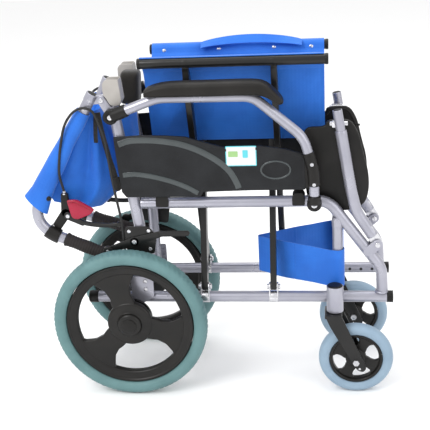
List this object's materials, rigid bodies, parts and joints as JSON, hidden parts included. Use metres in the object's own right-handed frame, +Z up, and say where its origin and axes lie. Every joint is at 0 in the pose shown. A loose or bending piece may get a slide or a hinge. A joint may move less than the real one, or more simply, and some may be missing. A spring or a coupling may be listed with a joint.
{
  "type": "transport wheelchair",
  "caption": "Folding transport wheelchair with scissor brace, fold-down push handles, flip-up armrests, swing-up footrests, casters and drum brakes.",
  "frame": {"origin": "on the floor, middle of the folded chair's bounding box", "axes": "+X is the way the chair faces, +Y its left side, +Z up; stored folded"},
  "size_m": [0.7071, 0.276, 0.675],
  "materials": {
    "frame_paint": "silver-lavender powder coat, satin",
    "grey_plastic": "moulded nylon",
    "black_plastic": "fine moulded texture",
    "black_steel": "black semi-gloss powder coat",
    "rear_rubber": "grey-green solid tyre",
    "caster_rubber": "pale grey-blue solid tyre",
    "rim_plastic": "glass-filled nylon",
    "grip_rubber": "soft matt rubber",
    "red_plastic": "moulded red",
    "blue_fabric": "coated woven nylon",
    "cable_jacket": "smooth jacket",
    "pad_skin": "integral-skin foam",
    "panel_plastic": "textured moulding"
  },
  "bodies": {
    "right_frame": {"right_lower_rail": "frame_paint", "right_upper_rail": "frame_paint", "right_rear_upright": "frame_paint", "right_cane_lock": "grey_plastic", "right_arm_socket": "black_plastic", "right_wheel_lock_plate": "black_steel", "right_brake_drum": "black_steel", "right_brake_cable": "cable_jacket", "right_lower_back": "blue_fabric", "right_calf_strap": "blue_fabric"},
    "left_frame": {"left_lower_rail": "frame_paint", "left_upper_rail": "frame_paint", "left_rear_upright": "frame_paint", "left_cane_lock": "grey_plastic", "left_arm_socket": "black_plastic", "left_wheel_lock_plate": "black_steel", "left_brake_drum": "black_steel", "left_brake_cable": "cable_jacket"},
    "brace_b": {"brace_b": "black_steel", "seat_sling_left": "blue_fabric", "scissor_axle": "black_steel"},
    "brace_a": {"brace_a": "black_steel", "seat_sling_right": "blue_fabric"},
    "lower_back_slide": {"left_lower_back": "blue_fabric"},
    "calf_strap_fold": {"calf_strap_middle": "blue_fabric"},
    "calf_strap_slide": {"left_calf_strap": "blue_fabric"},
    "upper_back_slide": {"left_upper_back": "blue_fabric"},
    "right_rear_wheel": {"right_rear_tyre": "rear_rubber", "right_rear_rim": "rim_plastic"},
    "right_caster_swivel": {"right_caster_fork": "black_steel"},
    "right_caster_wheel": {"right_caster_tyre": "caster_rubber", "right_caster_rim": "rim_plastic"},
    "right_cane": {"right_back_cane": "frame_paint", "right_push_grip": "grip_rubber", "right_brake_bracket": "black_plastic", "right_upper_back": "blue_fabric"},
    "right_lever": {"right_brake_lever": "black_steel"},
    "right_park": {"right_parking_lock": "red_plastic"},
    "right_armrest": {"right_arm_tube": "frame_paint", "right_arm_pad": "pad_skin", "right_side_panel": "panel_plastic"},
    "right_footrest": {"right_footrest_hanger": "frame_paint"},
    "right_plate": {"right_footplate": "black_plastic"},
    "right_lock": {"right_wheel_lock_lever": "black_steel"},
    "left_rear_wheel": {"left_rear_tyre": "rear_rubber", "left_rear_rim": "rim_plastic"},
    "left_caster_swivel": {"left_caster_fork": "black_steel"},
    "left_caster_wheel": {"left_caster_tyre": "caster_rubber", "left_caster_rim": "rim_plastic"},
    "left_cane": {"left_back_cane": "frame_paint", "left_push_grip": "grip_rubber", "left_brake_bracket": "black_plastic"},
    "left_lever": {"left_brake_lever": "black_steel"},
    "left_park": {"left_parking_lock": "red_plastic"},
    "left_armrest": {"left_arm_tube": "frame_paint", "left_arm_pad": "pad_skin", "left_side_panel": "panel_plastic"},
    "left_footrest": {"left_footrest_hanger": "frame_paint"},
    "left_plate": {"left_footplate": "black_plastic"},
    "left_lock": {"left_wheel_lock_lever": "black_steel"}
  },
  "joints": [
    {"name": "fold", "type": "hinge", "parent": "right_frame", "child": "brace_b", "pos_m": [-0.1652, -0.071, 0.213], "axis": [-1, 0, 0], "range_deg": [0, 47.54]},
    {"name": "scissor", "type": "hinge", "parent": "brace_b", "child": "brace_a", "pos_m": [-0.1652, 0, 0.43875], "axis": [1, 0, 0], "range_deg": [0, 95.28]},
    {"name": "left_frame_pivot", "type": "hinge", "parent": "brace_a", "child": "left_frame", "pos_m": [-0.1652, 0.071, 0.213], "axis": [-1, 0, 0], "range_deg": [0, 47.64]},
    {"name": "lower_back_spread", "type": "slide", "parent": "right_frame", "child": "lower_back_slide", "axis": [0, 1, 0], "range_m": [0, 0.288]},
    {"name": "calf_strap_right_pull", "type": "slide", "parent": "right_frame", "child": "calf_strap_fold", "axis": [0.7226, 0.6912, 0], "range_m": [0, 0.2086]},
    {"name": "calf_strap_left_pull", "type": "slide", "parent": "calf_strap_fold", "child": "calf_strap_slide", "axis": [-0.7226, 0.6912, 0], "range_m": [0, 0.2086]},
    {"name": "upper_back_spread", "type": "slide", "parent": "right_cane", "child": "upper_back_slide", "axis": [0, 1, 0], "range_m": [0, 0.288]},
    {"name": "right_rear_wheel_spin", "type": "hinge", "parent": "right_frame", "child": "right_rear_wheel", "pos_m": [-0.1652, -0.116, 0.155], "axis": [0, 1, 0], "continuous": true},
    {"name": "right_caster_turn", "type": "hinge", "parent": "right_frame", "child": "right_caster_swivel", "pos_m": [0.2398, -0.1, 0.174], "axis": [0, 0, 1], "continuous": true},
    {"name": "right_caster_spin", "type": "hinge", "parent": "right_caster_swivel", "child": "right_caster_wheel", "pos_m": [0.2798, -0.1, 0.073], "axis": [0, 1, 0], "continuous": true},
    {"name": "right_back_fold", "type": "hinge", "parent": "right_frame", "child": "right_cane", "pos_m": [-0.1912, -0.071, 0.6], "axis": [0, 1, 0], "range_deg": [0, 140.8], "deforming": ["right_brake_cable"]},
    {"name": "right_brake_squeeze", "type": "hinge", "parent": "right_cane", "child": "right_lever", "pos_m": [-0.2812, -0.074, 0.368], "axis": [0, 1, 0], "range_deg": [0, 12], "stiffness_Nm_per_rad": 0.5},
    {"name": "right_parking_lock_press", "type": "hinge", "parent": "right_cane", "child": "right_park", "pos_m": [-0.2632, -0.08, 0.368], "axis": [0, 1, 0], "range_deg": [0, 20]},
    {"name": "right_armrest_flip", "type": "hinge", "parent": "right_frame", "child": "right_armrest", "pos_m": [-0.1722, -0.1, 0.572], "axis": [0, -1, 0], "range_deg": [0, 95]},
    {"name": "right_footrest_swing", "type": "hinge", "parent": "right_frame", "child": "right_footrest", "pos_m": [0.3218, -0.071, 0.305], "axis": [0, 1, 0], "range_deg": [0, 167]},
    {"name": "right_footplate_flip", "type": "hinge", "parent": "right_footrest", "child": "right_plate", "pos_m": [0.2448, -0.051, 0.541], "axis": [1, 0, 0], "range_deg": [0, 90.2]},
    {"name": "right_wheel_lock", "type": "hinge", "parent": "right_frame", "child": "right_lock", "pos_m": [-0.1492, -0.089, 0.318], "axis": [0, 1, 0], "range_deg": [-8, 12]},
    {"name": "left_rear_wheel_spin", "type": "hinge", "parent": "left_frame", "child": "left_rear_wheel", "pos_m": [-0.1652, 0.116, 0.155], "axis": [0, 1, 0], "continuous": true},
    {"name": "left_caster_turn", "type": "hinge", "parent": "left_frame", "child": "left_caster_swivel", "pos_m": [0.2398, 0.1, 0.174], "axis": [0, 0, 1], "continuous": true},
    {"name": "left_caster_spin", "type": "hinge", "parent": "left_caster_swivel", "child": "left_caster_wheel", "pos_m": [0.2798, 0.1, 0.073], "axis": [0, 1, 0], "continuous": true},
    {"name": "left_back_fold", "type": "hinge", "parent": "left_frame", "child": "left_cane", "pos_m": [-0.1912, 0.071, 0.6], "axis": [0, 1, 0], "range_deg": [0, 145.3], "deforming": ["left_brake_cable"]},
    {"name": "left_brake_squeeze", "type": "hinge", "parent": "left_cane", "child": "left_lever", "pos_m": [-0.26272, 0.074, 0.36165], "axis": [0, 1, 0], "range_deg": [0, 12], "stiffness_Nm_per_rad": 0.5},
    {"name": "left_parking_lock_press", "type": "hinge", "parent": "left_cane", "child": "left_park", "pos_m": [-0.24478, 0.08, 0.36307], "axis": [0, 1, 0], "range_deg": [0, 20]},
    {"name": "left_armrest_flip", "type": "hinge", "parent": "left_frame", "child": "left_armrest", "pos_m": [-0.1722, 0.1, 0.572], "axis": [0, -1, 0], "range_deg": [0, 95]},
    {"name": "left_footrest_swing", "type": "hinge", "parent": "left_frame", "child": "left_footrest", "pos_m": [0.3218, 0.071, 0.305], "axis": [0, 1, 0], "range_deg": [0, 167]},
    {"name": "left_footplate_flip", "type": "hinge", "parent": "left_footrest", "child": "left_plate", "pos_m": [0.2448, 0.051, 0.541], "axis": [-1, 0, 0], "range_deg": [0, 90.2]},
    {"name": "left_wheel_lock", "type": "hinge", "parent": "left_frame", "child": "left_lock", "pos_m": [-0.1492, 0.089, 0.318], "axis": [0, 1, 0], "range_deg": [-8, 12]}
  ],
  "couplings": [
    {"joint": "scissor", "follows": "fold", "ratio": 2},
    {"joint": "left_frame_pivot", "follows": "fold", "ratio": 1},
    {"joint": "lower_back_spread", "follows": "fold", "m_per_rad": 0.34584},
    {"joint": "calf_strap_right_pull", "follows": "fold", "m_per_rad": 0.25017},
    {"joint": "calf_strap_left_pull", "follows": "fold", "m_per_rad": 0.25017},
    {"joint": "upper_back_spread", "follows": "fold", "m_per_rad": 0.34584},
    {"joint": "right_footplate_flip", "follows": "fold", "ratio": 1.8931},
    {"joint": "left_footplate_flip", "follows": "fold", "ratio": 1.8931}
  ]
}
